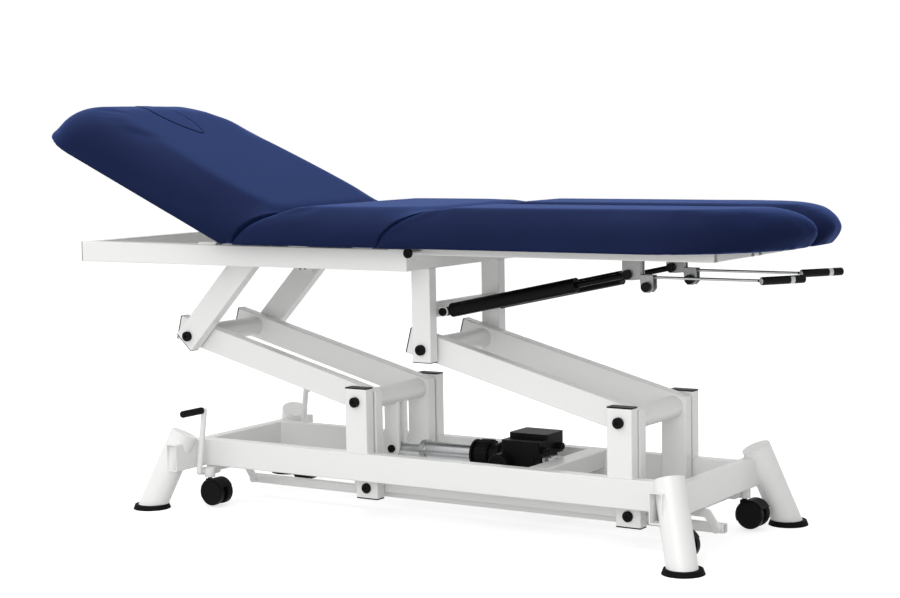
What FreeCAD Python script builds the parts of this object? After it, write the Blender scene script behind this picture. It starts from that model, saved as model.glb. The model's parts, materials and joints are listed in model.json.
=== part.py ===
import FreeCAD, Part
import math
import os

# Electric treatment couch with a three-part top on a two-arm lifting frame.
# All sizes are in millimetres. The head end is at -X, the foot end at +X.
# Sections below are laid out with X = 0 at the foot face of the upper frame,
# and the finished pieces are moved so that X = 0 is the middle of the couch.

V = FreeCAD.Vector
along_x = V(1, 0, 0)
along_y = V(0, 1, 0)
along_z = V(0, 0, 1)

# Clearances
running_gap = 0.05      # radial gap of a turning pin in its hole
ear_gap = 0.5           # side gap of an eye between two ears
washer_gap = 0.3        # end play of bushes and washers
rail_gap = 0.5          # backrest cushion above the side rails at full tilt

# Steel tube stock
tube_wall = 2.0
tube_corner = 3.0
tube_deep = 60.0        # posts, arms and head-end legs
tube_slim = 30.0
frame_tube_high = 49.0  # upper frame
plug_lip = 3.0

# Upper frame
frame_long = 963.0
frame_wide = 502.0
frame_top = 640.0
frame_leg_deep = 49.0
head_leg_top = -532.5
seat_rail_middle = -420.0
seat_rail_deep = 40.0
spring_rail_drop = 129.0
spring_rail_high = 32.0
spring_rail_foot_face = -7.0
rest_pad_thick = 5.0

# Lifting arms
post_offset = 149.0     # middle of posts, base rails and upper legs from the centre plane
arm_offset = 111.0      # middle of the arm tubes
lower_pivot_z = 278.0
head_pivot_x = -209.5
foot_pivot_x = 472.5
arm_back = 497.0        # the upper pivot lies this far towards the head
arm_rise = 130.0
arm_overrun = 60.0
lever_drop = 230.0
lever_pin_drop = 207.0
cross_tube_radius = 24.0
pivot_pin_radius = 6.0
pivot_head_radius = 12.0
pivot_head_high = 10.0
lever_head_high = 6.0
bush_radius = 15.0

# Base
base_top = 159.0
base_rail_high = 65.0
base_foot_face = 626.0
base_head_face = -691.5
post_top = 308.0
motor_rail_middle = 256.0
motor_rail_deep = 48.0
motor_rail_high = 40.0
leg_radius = 33.0
leg_wall = 2.5
leg_top_z = 180.0
leg_top_y = 219.0
leg_foot_y = 272.0
foot_leg_top_x = 616.0
foot_leg_foot_x = 672.0
head_leg_top_x = -679.0
head_leg_foot_x = -744.0
rubber_radius = 45.0
rubber_high = 11.0

# Tie bars between the two lever pairs
tie_offset = 82.0
tie_wide = 22.0
tie_high = 24.0
tie_head_overrun = 56.0
tie_foot_overrun = 32.0

# Linear actuator
actuator_pivot_x = 214.0
actuator_pivot_z = 156.0
clevis_drop = 130.0
lug_thick = 6.0
lug_half_gap = 13.0
actuator_rod_radius = 11.5
actuator_tube_radius = 21.0
actuator_tube_start = -131.0
gear_ring_radius = 34.0
gear_head_x = 15.0
box_head_x = 112.0
box_foot_x = 200.0
box_low_z = 130.0
box_near_top_z = 200.0
box_far_top_z = 212.0
box_half = 58.0
barrel_x = 125.0
barrel_z = 146.0
barrel_radius = 26.0

# Top sections
top_wide = 620.0
board_thick = 12.0
board_inset = 10.0
cushion_thick = 83.0
seat_edge = 38.0
backrest_edge = 58.0
leg_edge = 38.0
seat_head_x = -440.0
seat_foot_x = -45.0
seat_nose = 150.0       # length of the seat's rounded head end
seat_foot_round = 44.0
foot_end_x = 875.0
leg_section_gap = 4.0
foot_corner_inner = 42.0
head_corner = 115.0

# Backrest
backrest_hinge_x = -482.0
backrest_hinge_drop = 5.0
backrest_tilt = 24.2
backrest_full_tilt = 70.0
backrest_long = 660.0
backrest_foot_overhang = 24.0
backrest_slope = 76.0
backrest_tube = 20.0
backrest_side_gap = 6.0
face_hole_long = 250.0
face_hole_wide = 90.0
face_hole_middle = 496.0
plug_proud = 3.0
plug_gap = 0.8
backrest_spring_drop = 70.0
backrest_lug_along = 180.0
backrest_lug_drop = 60.0

# Leg sections
leg_hinge_x = 7.0
leg_hinge_drop = 8.0
hinge_cap_radius = 10.5
leg_frame_tube = 20.0
leg_frame_inner_y = 9.0
leg_frame_inset = 40.0
leg_frame_head_x = 16.0
leg_frame_foot_x = 715.0
hinge_pin_radius = 4.0
hinge_knuckle_radius = 6.2
spring_y = 105.0
spring_high_x = 471.0
spring_high_drop = 37.0
spring_radius = 16.0
spring_rod_radius = 6.5
spring_body_end = 345.0
spring_pin_radius = 4.0
eye_half = 7.0
ear_thick = 3.0
handle_drop = 62.0
handle_start_x = 486.0
handle_end_x = 781.0
handle_rod_radius = 3.0
handle_grip_long = 105.0
handle_grip_radius = 8.5
handle_slant = 56.5

# Castors and their pedal
shaft_z = 84.0
shaft_radius = 7.0
shaft_hub_radius = 9.5
head_shaft_x = -650.0
foot_shaft_x = 592.0
castor_offset = 180.0
castor_reach = 14.0     # the castor stem stands this far towards the foot from its shaft
boss_radius = 13.0
boss_bottom = 71.0
boss_top = 93.0
stem_radius = 5.5
wheel_radius = 31.0
wheel_z = 36.0
wheel_trail = 20.0
wheel_half_wide = 9.0
wheel_inner_gap = 7.0
link_offset = 54.0
link_z = 51.0
link_tube = 20.0
link_reach = 60.0       # link pins stand this far towards the foot from the shafts
knee_reach = 39.0       # the bend of the link levers
knee_rise = -1.5
pedal_y = 203.0
pedal_rod_radius = 7.0
pedal_top_z = 237.0
pedal_top_x = -629.0
pedal_grip_long = 75.0
pedal_grip_radius = 8.5

# Places worked out from the sizes above
rail_bottom = frame_top - frame_tube_high
rail_middle_y = (frame_wide - tube_slim) / 2
rail_inner_y = frame_wide / 2 - tube_slim
base_bottom = base_top - base_rail_high
base_middle_z = base_top - base_rail_high / 2
post_face = post_offset + tube_slim / 2
arm_face = arm_offset + tube_slim / 2
upper_pivot_z = lower_pivot_z + arm_rise
arm_angle = math.atan2(arm_rise, arm_back)
arm_way = V(-math.cos(arm_angle), 0, math.sin(arm_angle))
clevis_z = lower_pivot_z - clevis_drop
board_bottom = frame_top + rest_pad_thick
board_top = board_bottom + board_thick
cushion_top = board_top + cushion_thick
spring_rail_top = frame_top - spring_rail_drop
foot_corner_outer = top_wide / 2 - leg_section_gap / 2 - foot_corner_inner - 1.0
backrest_hinge_z = frame_top - backrest_hinge_drop
backrest_frame_y = rail_inner_y - backrest_side_gap - backrest_tube / 2
backrest_frame_long = frame_long - tube_slim + backrest_hinge_x - 10.0
backrest_spring_a = V(seat_rail_middle - seat_rail_deep / 2 - 22.0, 0, frame_top - backrest_spring_drop)
leg_hinge_z = frame_top - leg_hinge_drop
leg_frame_outer_y = frame_wide / 2 - leg_frame_inset
leg_frame_bottom = board_bottom - leg_frame_tube
spring_low = V(spring_rail_foot_face + 12.0, 0, spring_rail_top - 20.0)
spring_high = V(spring_high_x, 0, leg_frame_bottom - spring_high_drop)
handle_z = board_bottom - handle_drop
rest_pad_places = (backrest_hinge_x - 85.0, seat_head_x + 140.0, seat_foot_x - 75.0)
pieces = {}


def unit(vector):
    result = V(vector)
    result.normalize()
    return result


def placed(shape, origin, x_way, y_way):
    """Move a shape so that its own X and Y lie along the two given ways."""
    x_way = unit(x_way)
    y_way = unit(y_way)
    z_way = x_way.cross(y_way)
    matrix = FreeCAD.Matrix(
        x_way.x, y_way.x, z_way.x, origin.x,
        x_way.y, y_way.y, z_way.y, origin.y,
        x_way.z, y_way.z, z_way.z, origin.z,
        0, 0, 0, 1)
    moved = shape.copy()
    moved.Placement = FreeCAD.Placement(matrix)
    return moved


def block(x0, x1, y0, y1, z0, z1, corner=0.0, way=along_z):
    """A box between two corners, with its edges along one way rounded."""
    shape = Part.makeBox(x1 - x0, y1 - y0, z1 - z0, V(x0, y0, z0))
    if corner:
        shape = shape.makeFillet(corner, edges_along(shape, way))
    return shape


def edges_along(shape, way):
    found = []
    for edge in shape.Edges:
        run = edge.Vertexes[-1].Point - edge.Vertexes[0].Point
        if run.Length > 0.01 and abs(unit(run).dot(way)) > 0.999:
            found.append(edge)
    return found


def beam(start, end, wide, high, wide_way=along_y):
    """A rectangular tube with rounded corners from one point to another."""
    long = (end - start).Length
    shape = block(0, long, -wide / 2, wide / 2, -high / 2, high / 2, tube_corner, along_x)
    inner = block(-1, long + 1, tube_wall - wide / 2, wide / 2 - tube_wall,
                  tube_wall - high / 2, high / 2 - tube_wall)
    return placed(shape.cut(inner), start, end - start, wide_way)


def rod(start, end, radius, bore=0.0):
    way = end - start
    shape = Part.makeCylinder(radius, way.Length, start, way)
    if bore:
        shape = shape.cut(Part.makeCylinder(bore, way.Length, start, way))
    return shape


def cross_rod(x, z, y0, y1, radius, bore=0.0):
    """A rod or ring along Y."""
    return rod(V(x, min(y0, y1), z), V(x, max(y0, y1), z), radius, bore)


def mirrored(shape):
    return shape.mirror(V(0, 0, 0), along_y)


def both(shapes):
    """The given shapes and their mirror images across the centre plane."""
    result = list(shapes)
    for shape in shapes:
        result.append(mirrored(shape))
    return result


def fused(first, *others):
    return first.fuse(list(others)).removeSplitter()


def half_space(point, way):
    """A large block that fills the side of a plane that the way points to."""
    size = 3000.0
    big = Part.makeBox(size, size, size, V(0, -size / 2, -size / 2))
    side = along_y
    if abs(unit(way).dot(side)) > 0.9:
        side = along_x
    side = unit(way).cross(side)
    return placed(big, point, way, side)


def keep(name, shapes):
    pieces[name] = list(shapes)


def pivot_bolt(x, z, outer_face, inner_end, head_high=pivot_head_high):
    """A domed cap screw from the outer face towards the centre plane, at +Y."""
    shank = cross_rod(x, z, inner_end, outer_face, pivot_pin_radius)
    head = cross_rod(x, z, outer_face, outer_face + head_high, pivot_head_radius)
    rim = [e for e in head.Edges if e.BoundBox.YMin > outer_face + head_high - 0.01]
    head = head.makeFillet(2.5, rim)
    socket = Part.makeCylinder(4.0, 3.0, V(x, outer_face + head_high - 3.0, z), along_y)
    return fused(shank, head).cut(socket)


def bush(x, z):
    """The bush between an arm and the tube outside it."""
    inner = arm_face + washer_gap
    outer = post_face - tube_slim
    return cross_rod(x, z, inner, outer, bush_radius, pivot_pin_radius + running_gap)


def plug_in(origin, way, wide_way, wide, high, lip=plug_lip):
    """A plastic end plug: a lip on the tube's end and a shorter body inside it."""
    slack = 0.3
    lip_part = block(0, lip, -wide / 2, wide / 2, -high / 2, high / 2, tube_corner, along_x)
    inside = block(-10.0, 0.5, tube_wall + slack - wide / 2, wide / 2 - tube_wall - slack,
                   tube_wall + slack - high / 2, high / 2 - tube_wall - slack)
    return placed(fused(lip_part, inside), origin, way, wide_way)


# Base frame

def base_side_rails():
    rail = beam(V(base_head_face + tube_slim, post_offset, base_middle_z),
                V(base_foot_face - tube_slim, post_offset, base_middle_z),
                tube_slim, base_rail_high)
    keep("base_side_rails", both([rail]))


def splayed_leg(top_x, foot_x, hollow=True):
    """One round leg: its top is square to its own axis and its foot is cut level."""
    top = V(top_x, leg_top_y, leg_top_z)
    foot = V(foot_x, leg_foot_y, 0)
    way = unit(foot - top)
    past = foot + way * 60.0
    tube = rod(top, past, leg_radius)
    if hollow:
        tube = tube.cut(rod(top + way * leg_wall, past, leg_radius - leg_wall))
    floor_cut = Part.makeBox(400, 400, 400, V(foot_x - 200, leg_foot_y - 200, rubber_high - 400 - 5))
    return tube.cut(floor_cut)


def base_cross_rails():
    shapes = []
    ends = ((base_head_face + tube_slim / 2, head_leg_top_x, head_leg_foot_x),
            (base_foot_face - tube_slim / 2, foot_leg_top_x, foot_leg_foot_x))
    for middle_x, top_x, foot_x in ends:
        rail = beam(V(middle_x, -leg_foot_y, base_middle_z), V(middle_x, leg_foot_y, base_middle_z),
                    tube_slim, base_rail_high, along_x)
        for leg in both([splayed_leg(top_x, foot_x, hollow=False)]):
            rail = rail.cut(leg)
        longest = max(rail.Solids, key=lambda solid: solid.Volume)
        shapes.append(longest)
    motor_rail_z = base_top - motor_rail_high / 2
    inner = post_offset - tube_slim / 2
    shapes.append(beam(V(motor_rail_middle, -inner, motor_rail_z), V(motor_rail_middle, inner, motor_rail_z),
                       motor_rail_deep, motor_rail_high, along_x))
    keep("base_cross_rails", shapes)


def splayed_legs():
    legs = [splayed_leg(head_leg_top_x, head_leg_foot_x), splayed_leg(foot_leg_top_x, foot_leg_foot_x)]
    keep("splayed_legs", both(legs))


def rubber_feet():
    """Flared rubber shoes, hollowed for the slanted tube ends that stand in them."""
    shoes = []
    for top_x, foot_x in ((head_leg_top_x, head_leg_foot_x), (foot_leg_top_x, foot_leg_foot_x)):
        lean = (leg_foot_y - leg_top_y) / leg_top_z
        middle = V(foot_x, leg_foot_y - lean * rubber_high / 2, 0)
        disc = Part.makeCone(rubber_radius, rubber_radius - 4.0, rubber_high, middle)
        shoe = disc.cut(splayed_leg(top_x, foot_x, hollow=False))
        shoes.append(shoe)
    keep("rubber_feet", both(shoes))


def pivot_posts():
    posts = []
    for x in (head_pivot_x, foot_pivot_x):
        post = beam(V(x, post_offset, base_top), V(x, post_offset, post_top), tube_slim, tube_deep)
        hole = cross_rod(x, lower_pivot_z, post_offset - tube_slim, post_face + 5,
                         pivot_pin_radius + running_gap)
        posts.append(post.cut(hole))
    keep("pivot_posts", both(posts))


def base_plugs():
    plugs = []
    for x in (head_pivot_x, foot_pivot_x):
        plugs.append(plug_in(V(x, post_offset, post_top), along_z, along_y, tube_slim, tube_deep))
    keep("post_caps", both(plugs))


def lower_pivot_bolts():
    shapes = []
    for x in (head_pivot_x, foot_pivot_x):
        shapes.append(pivot_bolt(x, lower_pivot_z, post_face, arm_face - tube_slim - 8.0))
        shapes.append(bush(x, lower_pivot_z))
    keep("lower_pivot_bolts", both(shapes))


def base_brackets():
    """Bearing blocks for the two castor shafts, and the rear ears of the actuator."""
    shapes = []
    for x in (head_shaft_x, foot_shaft_x):
        half = 13.0
        low = shaft_z - 11.0
        top = base_bottom
        x1 = x + half
        side = block(x - half, x1, post_offset - 10, post_offset + 10, low, top)
        side = side.makeFillet(6.0, [e for e in edges_along(side, along_y) if e.BoundBox.ZMax < low + 1])
        side = side.cut(cross_rod(x, shaft_z, 0, post_face + 10, shaft_radius + running_gap))
        shapes.append(side)
    shapes = both(shapes)
    head_face = motor_rail_middle - motor_rail_deep / 2
    for side in (-1, 1):
        y = side * (lug_half_gap + lug_thick / 2)
        ear = block(actuator_pivot_x, head_face, y - lug_thick / 2, y + lug_thick / 2,
                    actuator_pivot_z - 18, base_top)
        nose = cross_rod(actuator_pivot_x, actuator_pivot_z - 2, y - lug_thick / 2, y + lug_thick / 2, 13)
        nose = nose.common(block(actuator_pivot_x - 40, actuator_pivot_x + 1, y - 20, y + 20,
                                 actuator_pivot_z - 40, base_top))
        hole = cross_rod(actuator_pivot_x, actuator_pivot_z - 2, y - 20, y + 20, 5.0 + running_gap)
        shapes.append(fused(ear, nose).cut(hole))
    keep("base_brackets", shapes)


# Lifting arms

def arm_side(pivot_x):
    """One L-shaped arm tube at +Y: a slanted run mitred to an upright lever."""
    corner = V(pivot_x, arm_offset, lower_pivot_z)
    top_end = corner + arm_way * (math.hypot(arm_back, arm_rise) + arm_overrun)
    down = V(0, 0, -1)
    past = tube_deep
    slanted = beam(corner - arm_way * past, top_end, tube_slim, tube_deep)
    upright = beam(corner - down * past, corner + down * lever_drop, tube_slim, tube_deep)
    slanted = slanted.common(half_space(corner, arm_way - down))
    upright = upright.common(half_space(corner, down - arm_way))
    shape = fused(slanted, upright)
    upper = upper_pivot(pivot_x)
    for x, z in ((pivot_x, lower_pivot_z), (upper.x, upper.z), (pivot_x, lower_pivot_z - lever_pin_drop)):
        shape = shape.cut(cross_rod(x, z, arm_offset - tube_slim, arm_offset + tube_slim,
                                    pivot_pin_radius + running_gap))
    return shape


def upper_pivot(pivot_x):
    return V(pivot_x - arm_back, 0, upper_pivot_z)


def cross_tubes(pivot_x):
    """The two round tubes between the arm sides, in line with both pivots."""
    upper = upper_pivot(pivot_x)
    half = arm_offset - tube_slim / 2
    bore = cross_tube_radius - tube_wall
    return [cross_rod(pivot_x, lower_pivot_z, -half, half, cross_tube_radius, bore),
            cross_rod(upper.x, upper.z, -half, half, cross_tube_radius, bore)]


def arm_caps(pivot_x):
    """End plugs of the arm tubes and the cap screws that carry the tie bars, at +Y."""
    corner = V(pivot_x, arm_offset, lower_pivot_z)
    end = corner + arm_way * (math.hypot(arm_back, arm_rise) + arm_overrun)
    foot = V(pivot_x, arm_offset, lower_pivot_z - lever_drop)
    pin_z = lower_pivot_z - lever_pin_drop
    plugs = [plug_in(end, arm_way, along_y, tube_slim, tube_deep),
             plug_in(foot, V(0, 0, -1), along_y, tube_slim, tube_deep)]
    bolt = pivot_bolt(pivot_x, pin_z, arm_face, tie_offset - tie_wide / 2 - 4.0, lever_head_high)
    washer_in = tie_offset + tie_wide / 2 + washer_gap
    washer = cross_rod(pivot_x, pin_z, washer_in, arm_offset - tube_slim / 2, 11.0,
                       pivot_pin_radius + running_gap)
    nut_out = tie_offset - tie_wide / 2 - washer_gap
    nut = cross_rod(pivot_x, pin_z, nut_out - 6.0, nut_out, 9.5)
    return plugs + [fused(bolt, nut), washer]


def head_arm():
    keep("head_arm_sides", both([arm_side(head_pivot_x)]))
    lugs = []
    for side in (-1, 1):
        y0 = side * lug_half_gap
        y1 = side * (lug_half_gap + lug_thick)
        low, high = min(y0, y1), max(y0, y1)
        plate = block(head_pivot_x - 20, head_pivot_x + 20, low, high, clevis_z, lower_pivot_z - 16)
        round_end = cross_rod(head_pivot_x, clevis_z, low, high, 20)
        hub = cross_rod(head_pivot_x, lower_pivot_z, -arm_offset, arm_offset, cross_tube_radius)
        lug = fused(plate, round_end).cut(hub)
        lugs.append(max(lug.Solids, key=lambda solid: solid.Volume))
    keep("head_arm_tubes", cross_tubes(head_pivot_x) + lugs)
    caps = []
    for side in (-1, 1):
        face = side * (lug_half_gap + lug_thick)
        caps.append(cross_rod(head_pivot_x, clevis_z, face, face + side * 6.0, 9.0))
    keep("head_arm_caps", both(arm_caps(head_pivot_x)) + caps)


def foot_arm():
    keep("foot_arm_sides", both([arm_side(foot_pivot_x)]))
    keep("foot_arm_tubes", cross_tubes(foot_pivot_x))
    keep("foot_arm_caps", both(arm_caps(foot_pivot_x)))


def tie_bars():
    z = lower_pivot_z - lever_pin_drop
    start = V(head_pivot_x - tie_head_overrun, tie_offset, z)
    end = V(foot_pivot_x + tie_foot_overrun, tie_offset, z)
    bar = beam(start, end, tie_wide, tie_high)
    for x in (head_pivot_x, foot_pivot_x):
        bar = bar.cut(cross_rod(x, z, tie_offset - tie_wide, tie_offset + tie_wide,
                                pivot_pin_radius + running_gap))
    plugs = [plug_in(end, along_x, along_y, tie_wide, tie_high, 2.0),
             plug_in(start, V(-1, 0, 0), along_y, tie_wide, tie_high, 2.0)]
    keep("tie_bars", both([bar] + plugs))


# Upper frame

def upper_side_rails():
    z = frame_top - frame_tube_high / 2
    rail = beam(V(-frame_long, rail_middle_y, z), V(-frame_leg_deep, rail_middle_y, z),
                tube_slim, frame_tube_high)
    keep("upper_side_rails", both([rail]))


def upper_cross_rails():
    z = frame_top - frame_tube_high / 2
    shapes = [
        beam(V(-frame_leg_deep / 2, -frame_wide / 2, z), V(-frame_leg_deep / 2, frame_wide / 2, z),
             frame_leg_deep, frame_tube_high, along_x),
        beam(V(seat_rail_middle, -rail_inner_y, z), V(seat_rail_middle, rail_inner_y, z),
             seat_rail_deep, frame_tube_high, along_x),
        beam(V(tube_slim / 2 - frame_long, -rail_inner_y, z), V(tube_slim / 2 - frame_long, rail_inner_y, z),
             tube_slim, frame_tube_high, along_x)]
    stub_y = post_offset - tube_slim / 2
    stub_z = rail_bottom + tube_slim / 2
    stub = beam(V(head_leg_top, stub_y, stub_z), V(head_leg_top, rail_inner_y, stub_z),
                tube_deep * 1.35, tube_slim, along_x)
    shapes += both([stub])
    spring_z = spring_rail_top - spring_rail_high / 2
    spring_x = spring_rail_foot_face - tube_slim / 2
    shapes.append(beam(V(spring_x, -stub_y, spring_z), V(spring_x, stub_y, spring_z),
                       tube_slim, spring_rail_high, along_x))
    shapes += both([plug_in(V(-frame_leg_deep / 2, frame_wide / 2, z), along_y, along_x, frame_leg_deep,
                            frame_tube_high, 2.0)])
    keep("upper_cross_rails", shapes)


def upper_legs():
    """Two slanted legs at the head end and two upright legs at the foot end."""
    pivot = upper_pivot(head_pivot_x) + V(0, post_offset, 0)
    top = V(head_leg_top, post_offset, rail_bottom)
    way = unit(top - pivot)
    slanted = beam(pivot - way * 20.0, top + way * 60.0, tube_slim, tube_deep)
    slanted = slanted.cut(half_space(top, along_z))
    foot_pivot = upper_pivot(foot_pivot_x) + V(0, post_offset, 0)
    upright = beam(foot_pivot - V(0, 0, 28.0), V(foot_pivot.x, post_offset, rail_bottom),
                   tube_slim, frame_leg_deep)
    shapes = []
    for leg, at in ((slanted, pivot), (upright, foot_pivot)):
        shapes.append(leg.cut(cross_rod(at.x, at.z, post_offset - tube_slim, post_face + 5,
                                        pivot_pin_radius + running_gap)))
    keep("upper_legs", both(shapes))


def upper_plugs():
    pivot = upper_pivot(head_pivot_x) + V(0, post_offset, 0)
    top = V(head_leg_top, post_offset, rail_bottom)
    way = unit(top - pivot)
    foot_pivot = upper_pivot(foot_pivot_x) + V(0, post_offset, 0)
    z = frame_top - frame_tube_high / 2
    shapes = [
        plug_in(pivot - way * 20.0, way * -1, along_y, tube_slim, tube_deep, 2.0),
        plug_in(foot_pivot - V(0, 0, 28.0), V(0, 0, -1), along_y, tube_slim, frame_leg_deep, 2.0),
        plug_in(V(-frame_long, rail_middle_y, z), V(-1, 0, 0), along_y, tube_slim, frame_tube_high, 2.0),
        fused(cross_rod(leg_hinge_x, leg_hinge_z, frame_wide / 2, frame_wide / 2 + 2.5, leg_hinge_x - 0.5),
              cross_rod(leg_hinge_x, leg_hinge_z, frame_wide / 2 + 2.5, frame_wide / 2 + 9.0,
                        hinge_cap_radius))]
    for pivot_x in (head_pivot_x, foot_pivot_x):
        at = upper_pivot(pivot_x)
        shapes.append(pivot_bolt(at.x, at.z, post_face, arm_face - tube_slim - 8.0))
        shapes.append(bush(at.x, at.z))
    keep("upper_caps", both(shapes))


def hinge_brackets():
    """Leg hinge ears and pins, backrest ears and pins, rest pads and gas spring ears."""
    inner = leg_frame_inner_y
    shapes = []
    thick = 2 * (inner - 2.0)
    nose_x = leg_hinge_x
    centre = fused(block(0, nose_x, -thick / 2, thick / 2, leg_hinge_z - 9, leg_hinge_z + 7),
                   cross_rod(nose_x, leg_hinge_z, -thick / 2, thick / 2, 7),
                   cross_rod(nose_x, leg_hinge_z, -inner - 20, inner + 20, hinge_pin_radius))
    shapes.append(centre)
    outer_y = frame_wide / 2 - 8.0
    outer = fused(block(0, nose_x, outer_y, frame_wide / 2, leg_hinge_z - 9, leg_hinge_z + 7),
                  cross_rod(nose_x, leg_hinge_z, outer_y, frame_wide / 2, 7),
                  cross_rod(nose_x, leg_hinge_z, leg_frame_outer_y - 18, outer_y, hinge_pin_radius))
    ear_in = backrest_frame_y + backrest_tube / 2 + ear_gap
    ear = fused(block(backrest_hinge_x - 16, backrest_hinge_x + 16, ear_in, rail_inner_y,
                      rail_bottom + tube_slim + 0.5, frame_top),
                cross_rod(backrest_hinge_x, backrest_hinge_z, backrest_frame_y - 14, ear_in,
                          hinge_pin_radius + 1.0))
    pads = []
    for x in rest_pad_places:
        pads.append(block(x - 26, x + 26, rail_inner_y + 2, frame_wide / 2 - 2, frame_top,
                          frame_top + rest_pad_thick))
    shapes += both([outer, ear] + pads)
    for side in (-1, 1):
        for part in (-1, 1):
            y = side * spring_y + part * (eye_half + ear_gap + ear_thick / 2)
            lug = fused(block(spring_rail_foot_face, spring_low.x, y - ear_thick / 2, y + ear_thick / 2,
                              spring_low.z - 11, spring_low.z + 11),
                        cross_rod(spring_low.x, spring_low.z, y - ear_thick / 2, y + ear_thick / 2, 11))
            shapes.append(lug.cut(cross_rod(spring_low.x, spring_low.z, y - 5, y + 5,
                                            spring_pin_radius + running_gap)))
    a = backrest_spring_a
    face = seat_rail_middle - seat_rail_deep / 2
    for part in (-1, 1):
        y = part * (eye_half + ear_gap + ear_thick / 2)
        y0, y1 = y - ear_thick / 2, y + ear_thick / 2
        lug = fused(block(a.x, face, y0, y1, a.z - 11, a.z + 30),
                    block(face - 1, face, y0, y1, a.z, frame_top - 10),
                    cross_rod(a.x, a.z, y0, y1, 11))
        shapes.append(lug.cut(cross_rod(a.x, a.z, y - 5, y + 5, spring_pin_radius + running_gap)))
    keep("hinge_brackets", shapes)


def spring_pins():
    """Pins of the three gas springs on the upper frame, and the leg hinge caps."""
    shapes = []
    for side in (-1, 1):
        reach = eye_half + ear_gap + ear_thick
        middle = side * spring_y
        shapes.append(fused(
            cross_rod(spring_low.x, spring_low.z, middle - reach, middle + reach, spring_pin_radius),
            cross_rod(spring_low.x, spring_low.z, middle - reach - 6, middle - reach, 9.0),
            cross_rod(spring_low.x, spring_low.z, middle + reach, middle + reach + 6, 9.0)))
    pieces["upper_caps"] += shapes


# Seat, backrest and leg sections

def rounded_pad(outline, low, high, edge):
    """A pad from a closed plan outline, with its top edge rounded."""
    face = Part.Face(Part.Wire(outline))
    pad = face.extrude(V(0, 0, high - low))
    pad.translate(V(0, 0, low))
    top_edges = [e for e in pad.Edges if e.BoundBox.ZMin > high - 0.01]
    return pad.makeFillet(edge, top_edges)


def plan(x0, x1, y0, y1, r00, r10, r11, r01):
    """A plan outline with its own radius at each corner, in the plane Z = 0."""
    corners = ((x0, y0, r00, 1, 0), (x1, y0, r10, 0, 1), (x1, y1, r11, -1, 0), (x0, y1, r01, 0, -1))
    edges = []
    points = []
    for x, y, radius, dx, dy in corners:
        before = V(x, y, 0) + V(-dy, dx, 0) * radius
        after = V(x, y, 0) + V(dx, dy, 0) * radius
        middle = V(x, y, 0) + (V(dx, dy, 0) + V(-dy, dx, 0)) * radius
        through = middle - (V(dx, dy, 0) + V(-dy, dx, 0)) * (radius / math.sqrt(2))
        points.append((before, through, after, radius))
    for index, (before, through, after, radius) in enumerate(points):
        if radius > 0:
            edges.append(Part.Arc(before, through, after).toShape())
        following = points[(index + 1) % 4][0]
        edges.append(Part.LineSegment(after, following).toShape())
    return edges


def seat():
    half = top_wide / 2
    board = block(seat_head_x + board_inset + 4, seat_foot_x - board_inset, board_inset - half,
                  half - board_inset, board_bottom, board_top)
    keep("seat_board", [board])
    nose_x = seat_head_x + seat_nose
    round_x = seat_foot_x - seat_foot_round
    round_z = cushion_top - seat_foot_round
    head = V(seat_head_x, -half, board_top)
    foot = V(seat_foot_x, -half, board_top)
    nose = Part.Ellipse(head, V(nose_x, -half, cushion_top), V(nose_x, -half, board_top))
    nose = Part.ArcOfEllipse(nose, 0, math.pi / 2).toShape()
    slant = seat_foot_round / math.sqrt(2)
    arc = Part.Arc(V(round_x, -half, cushion_top), V(round_x + slant, -half, round_z + slant),
                   V(seat_foot_x, -half, round_z)).toShape()
    sides = [nose,
             Part.LineSegment(V(nose_x, -half, cushion_top), V(round_x, -half, cushion_top)).toShape(),
             arc,
             Part.LineSegment(V(seat_foot_x, -half, round_z), foot).toShape(),
             Part.LineSegment(foot, head).toShape()]
    pad = Part.Face(Part.Wire(sides)).extrude(V(0, top_wide, 0))
    keep("seat_cushion", [pad.makeFillet(seat_edge, side_edges(pad, half))])


def side_edges(pad, half):
    """Edges round a pad's two upright sides, without the ones along its bottom and ends."""
    found = []
    for edge in pad.Edges:
        box = edge.BoundBox
        on_side = box.YMin > half - 0.01 or box.YMax < 0.01 - half
        if on_side and box.ZMax > cushion_top - seat_foot_round + 0.01:
            found.append(edge)
    return found


def lens(long, wide, middle_x, low, high):
    """An upright prism with the pointed oval outline of the face hole."""
    tip = long / 2
    left = V(middle_x - tip, 0, low)
    right = V(middle_x + tip, 0, low)
    upper = Part.Arc(left, V(middle_x, wide / 2, low), right).toShape()
    lower = Part.Arc(right, V(middle_x, -wide / 2, low), left).toShape()
    return Part.Face(Part.Wire([upper, lower])).extrude(V(0, 0, high - low))


def tilted(shapes):
    """Turn backrest pieces, drawn flat, about the backrest hinge to the rest tilt."""
    result = []
    for shape in shapes:
        turned = shape.copy()
        turned.rotate(V(backrest_hinge_x, 0, backrest_hinge_z), along_y, backrest_tilt)
        result.append(turned)
    return result


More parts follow.
